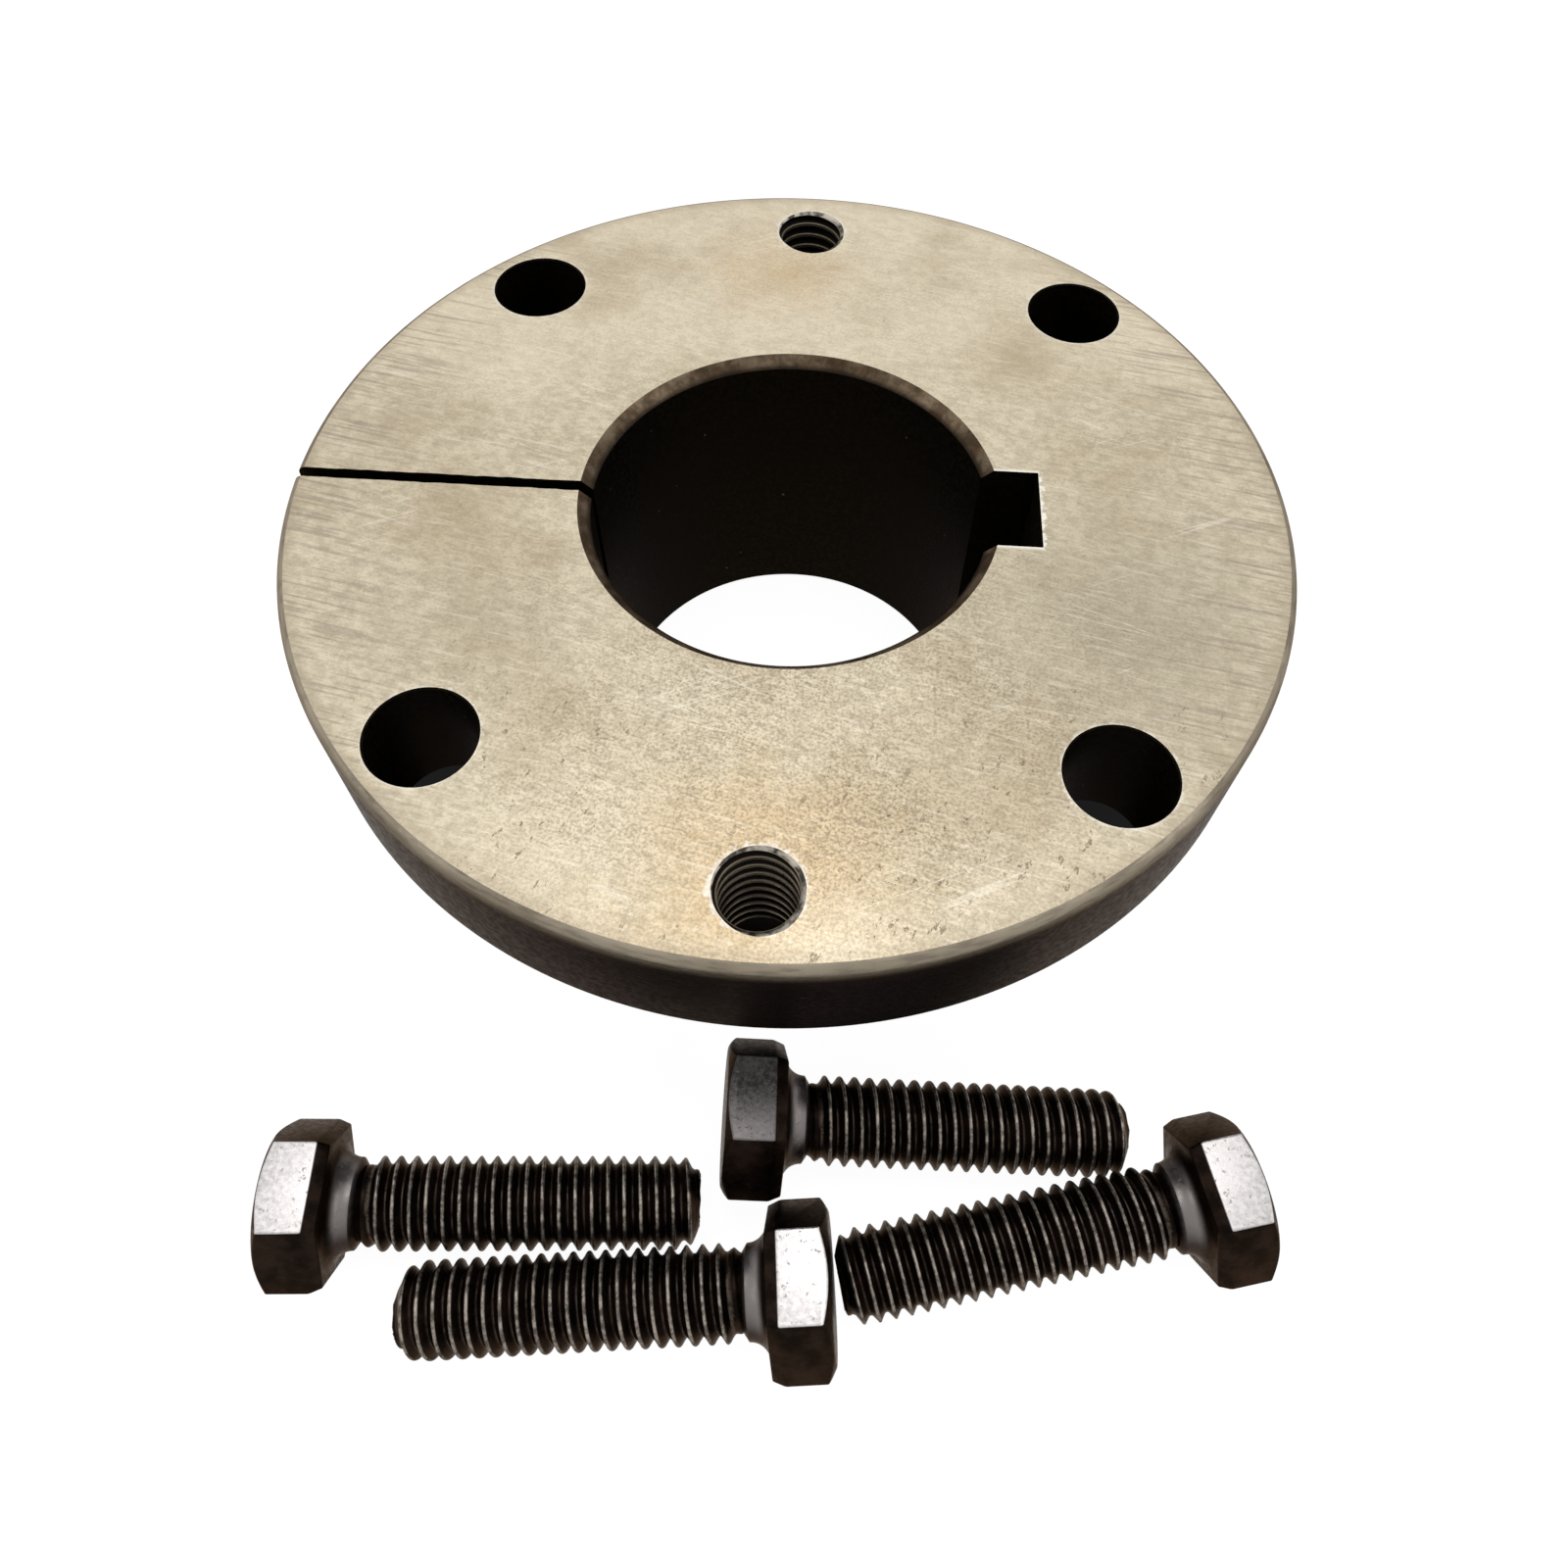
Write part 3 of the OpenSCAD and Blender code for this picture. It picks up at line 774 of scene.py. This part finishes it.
top_r = HEAD_R - HEAD_TOP_IN
combine(head, turned("corner_turning", [
    (top_r - OVER / HEAD_SLOPE, -HEAD_H - OVER),
    (corner_reach, -HEAD_H + (corner_reach - top_r) * HEAD_SLOPE),
    (corner_reach, OVER),
], 96), "INTERSECT")
only(head)
softening = head.modifiers.new("softening", "BEVEL")
softening.width = HEAD_SOFT
softening.segments = 3
softening.limit_method = "ANGLE"
softening.angle_limit = math.radians(18)
bpy.ops.object.modifier_apply(modifier=softening.name)
combine(cap_screw, neck, "UNION")
combine(cap_screw, head, "UNION")
weld(cap_screw)

# Turned to lie along X with its point at +X, and marked where its thread's crests are
cap_screw.data.transform(Matrix(((0, 0, 1, 0), (1, 0, 0, 0), (0, 1, 0, 0), (0, 0, 0, 1))))
only(cap_screw)
bpy.ops.object.shade_smooth_by_angle(angle=math.radians(32))
spots = [vertex.co.copy() for vertex in cap_screw.data.vertices]
worn_and_highlighted_crests = []
highlighted_roots = []
for spot in spots:
    on_thread = spot.x > NECK_L + 0.5 * THREAD_PITCH
    rise = math.hypot(spot.y, spot.z) / point_share(spot.x) - GROOVE_R
    worn_and_highlighted_crests.append(float(on_thread and rise > CREST_WEAR_AND_HIGHLIGHT_RISE * (THREAD_R - GROOVE_R)))
    highlighted_roots.append(float(on_thread and rise < ROOT_RISE * (THREAD_R - GROOVE_R)))
on_screw = cap_screw.data.attributes.new("on_screw", "FLOAT_VECTOR", "POINT")
on_screw.data.foreach_set("vector", [value for spot in spots for value in spot])
crest_wear_and_highlight = cap_screw.data.attributes.new("crest_wear_and_highlight", "FLOAT", "POINT")
crest_wear_and_highlight.data.foreach_set("value", worn_and_highlighted_crests)
root_highlight = cap_screw.data.attributes.new("root_highlight", "FLOAT", "POINT")
root_highlight.data.foreach_set("value", highlighted_roots)

# Black oxide under brown oil, bright along the thread's crests and on the flat that lies upwards, partly by
# wear and partly by painted highlight, with a painted sheen on the neck and painted highlights in the roots
black_oxide, tree, shader, _ = steel("black_oxide", 0.8, 0.08, (0.6, 0.52, 0.46, 1))
place = add_node(tree, "Attribute", {}, attribute_name="on_screw").outputs["Vector"]
crest = add_node(tree, "Attribute", {}, attribute_name="crest_wear_and_highlight").outputs["Fac"]
flat_wear_and_highlight = add_node(tree, "Attribute", {}, attribute_name="flat_wear_and_highlight").outputs["Fac"]
grain, specks = grained(tree, place, 0.45 * MM)
patch = cloud(tree, place, 2.6 * MM, 4.0, 0.6)
along, _, upwards = add_node(tree, "SeparateXYZ", {0: place}).outputs
color = tint(tree, ramp(tree, patch, 0.38, 0.66), tone(18, 13, 10), tone(40, 30, 25))
# Painted highlight: a faint uneven line along the thread's roots
root = add_node(tree, "Attribute", {}, attribute_name="root_highlight").outputs["Fac"]
uneven = cloud(tree, place, 0.9 * MM, 4.0, 0.7)
painted_root_line = calc(tree, "MULTIPLY", root, ramp(tree, uneven, 0.42, 0.62, 0.1, 0.8))
color = tint(tree, painted_root_line, color, tone(84, 74, 66))
rubbed_and_highlighted = calc(tree, "MULTIPLY", crest, ramp(tree, uneven, 0.38, 0.64, 0.2, 1.0))
# Painted highlight: the crests are painted brightest on their upper side, where the overhead light falls
rubbed_and_highlighted = calc(tree, "MULTIPLY", rubbed_and_highlighted, ramp(tree, upwards, -1.5 * MM, 3.4 * MM, 0.25, 1.0))
color = tint(tree, rubbed_and_highlighted, color, tone(166, 156, 146))
# Painted sheen: a bright band painted on the neck's upper side
before_thread = ramp(tree, along, 1.6 * MM, 2.2 * MM, 1.0, 0.0)
on_neck = calc(tree, "MULTIPLY", ramp(tree, along, 0.2 * MM, 0.9 * MM), before_thread)
neck_sheen = calc(tree, "MULTIPLY", on_neck, ramp(tree, upwards, 1.6 * MM, 3.7 * MM, 0.1, 0.85))
color = tint(tree, neck_sheen, color, tone(136, 130, 128))
# The flat that lies upwards is bright partly by wear and partly by painted highlight
on_head = ramp(tree, along, -DRAFT_L - 0.05 * MM, -DRAFT_L + 0.1 * MM, 1.0, 0.0)
on_top = ramp(tree, upwards, HEAD_R - 0.10 * MM, HEAD_R - 0.02 * MM)
lit_and_worn_flat = calc(tree, "MULTIPLY", calc(tree, "MULTIPLY", on_head, on_top), flat_wear_and_highlight)
flat_tone = tint(tree, ramp(tree, grain, 0.32, 0.70), tone(200, 196, 195), tone(236, 232, 231))
color = tint(tree, lit_and_worn_flat, color, flat_tone)
pitting = calc(tree, "MAXIMUM", specks, ramp(tree, cloud(tree, place, 0.55 * MM, 4.0, 0.7), 0.60, 0.70))
pits = calc(tree, "MULTIPLY", calc(tree, "MULTIPLY", pitting, lit_and_worn_flat), 0.6)
color = tint(tree, pits, color, tone(104, 98, 95))
relief = calc(tree, "SUBTRACT", calc(tree, "MULTIPLY", grain, 0.6), calc(tree, "MULTIPLY", pitting, 0.6))
finish_steel(tree, shader, color, ramp(tree, grain, 0.3, 0.7, 0.30, 0.46), relief, 0.03 * MM)
cap_screw.data.materials.append(black_oxide)

# Each screw lies on one flat of its head and on a crest near its point, so its axis dips
low_crests = []
for turn in range(math.ceil(SCREW_L / THREAD_PITCH) + 1):
    for edge in (-1, 1):
        x = THREAD_START + (turn + LOW_SIDE + (1 + edge * CREST_SHARE) / 2) * THREAD_PITCH
        if SCREW_L / 2 < x < SCREW_L:
            low_crests.append(x)
dip = min(math.atan((HEAD_R - point_share(x) * THREAD_R) / (x + DRAFT_L)) for x in low_crests)
AXIS_Z = HEAD_R * math.cos(dip) - DRAFT_L * math.sin(dip)
BACK_Y = -(FLANGE_R + 2.7 * MM)
FRONT_Y = BACK_Y - 2 * HEAD_CORNER_R + 0.2 * MM
MIDDLE_X = 2.4 * MM
THREAD_D = 2 * THREAD_R

# Where each screw's bearing face lies, the way its point looks, and how bright its top flat is, by wear and
# painted highlight
screw_places = {
    "cap_screw_1": (-(SCREW_L + 4.3 * MM), FRONT_Y + THREAD_D - 3.1 * MM, 4.4, 0.9),
    "cap_screw_2": (MIDDLE_X, FRONT_Y, 185.6, 1.0),
    "cap_screw_3": (MIDDLE_X + 0.2 * MM, BACK_Y, 2, 0.22),
    "cap_screw_4": (MIDDLE_X + HEAD_H + SCREW_L - 0.4 * MM, BACK_Y - THREAD_D + 2.6 * MM, 193.9, 0.8),
}
for node_name, (x, y, heading, flat_share) in screw_places.items():
    piece = bpy.data.objects.new(node_name + "_dressed", cap_screw.data.copy())
    bpy.context.collection.objects.link(piece)
    flat_share_layer = piece.data.attributes.new("flat_wear_and_highlight", "FLOAT", "POINT")
    flat_share_layer.data.foreach_set("value", [flat_share] * len(piece.data.vertices))
    piece.data.transform(
        Matrix.Translation((x, y, AXIS_Z))
        @ Matrix.Rotation(math.radians(heading), 4, "Z")
        @ Matrix.Rotation(dip, 4, "Y")
    )
    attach(piece, "root")
    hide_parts(node_name)
bpy.data.objects.remove(cap_screw)
